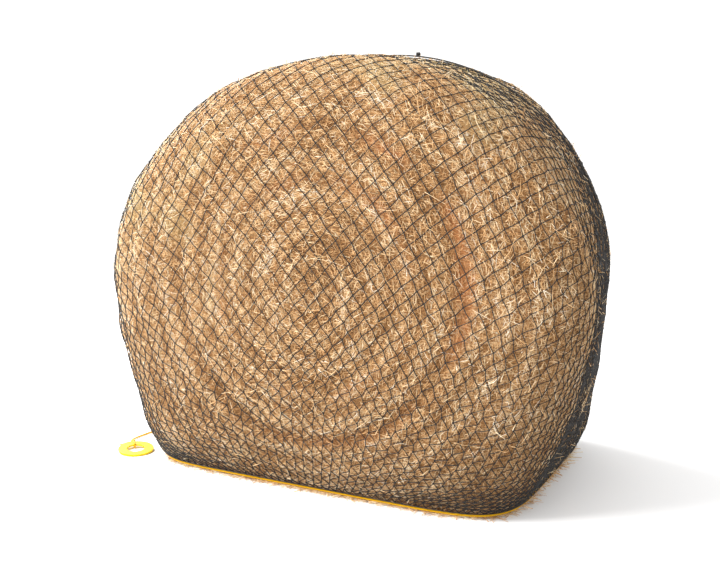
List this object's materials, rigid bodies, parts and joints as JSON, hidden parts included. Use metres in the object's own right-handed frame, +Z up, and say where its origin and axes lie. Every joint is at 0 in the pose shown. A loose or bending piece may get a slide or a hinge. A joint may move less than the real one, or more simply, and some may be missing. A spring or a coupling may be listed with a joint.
{
  "type": "hay net",
  "caption": "Knotted slow-feeder net drawn over a round hay bale lying on its roll, with a drawcord round the mouth and a pull ring on its free end.",
  "frame": {"origin": "middle of the bale's flat foot, on the surface it stands on", "axes": "+Z up, Y along the roll's axis with the front end face towards -Y, +X to the right of the front"},
  "size_m": [1.733, 1.055, 1.4175],
  "materials": {
    "hay": "matte",
    "hay_inside": "matte",
    "net_twine": "satin",
    "yellow_cord": "satin",
    "yellow_plastic": "satin"
  },
  "bodies": {
    "bale_and_net": {"hay_core": "hay_inside", "hay_inner_windings": "hay_inside", "hay_middle_windings": "hay_inside", "hay_outer_windings": "hay", "netting": "net_twine", "mouth_selvedge": "net_twine", "seam_lacing": "net_twine", "closing_cord": "net_twine", "closing_knot": "net_twine", "drawcord": "yellow_cord", "stop_knot": "yellow_cord"},
    "cord_tail": {"drawcord_tail": "yellow_cord"},
    "cord_lead": {"drawcord_lead": "yellow_cord"},
    "ring_tie": {"ring_loop": "yellow_cord", "ring_knot": "yellow_cord", "knot_tail": "yellow_cord"},
    "ring": {"cinch_ring": "yellow_plastic"}
  },
  "joints": [
    {"name": "drawcord_pull", "type": "slide", "parent": "bale_and_net", "child": "cord_tail", "axis": [0, -1, 0], "range_m": [0, 0.15]},
    {"name": "lead_swing", "type": "hinge", "parent": "cord_tail", "child": "cord_lead", "pos_m": [-0.697, -0.005, 0.01], "axis": [0, 0, -1], "range_deg": [0, 60]},
    {"name": "ring_lift", "type": "hinge", "parent": "cord_lead", "child": "ring_tie", "pos_m": [-0.83935, -0.34662, 0.0089], "axis": [-0.6756, -0.7373, 0], "range_deg": [0, 100]},
    {"name": "ring_turn", "type": "hinge", "parent": "ring_tie", "child": "ring", "pos_m": [-0.78, -0.401, 0.0088], "axis": [0.0611, -0.0559, 0.9966], "continuous": true}
  ]
}
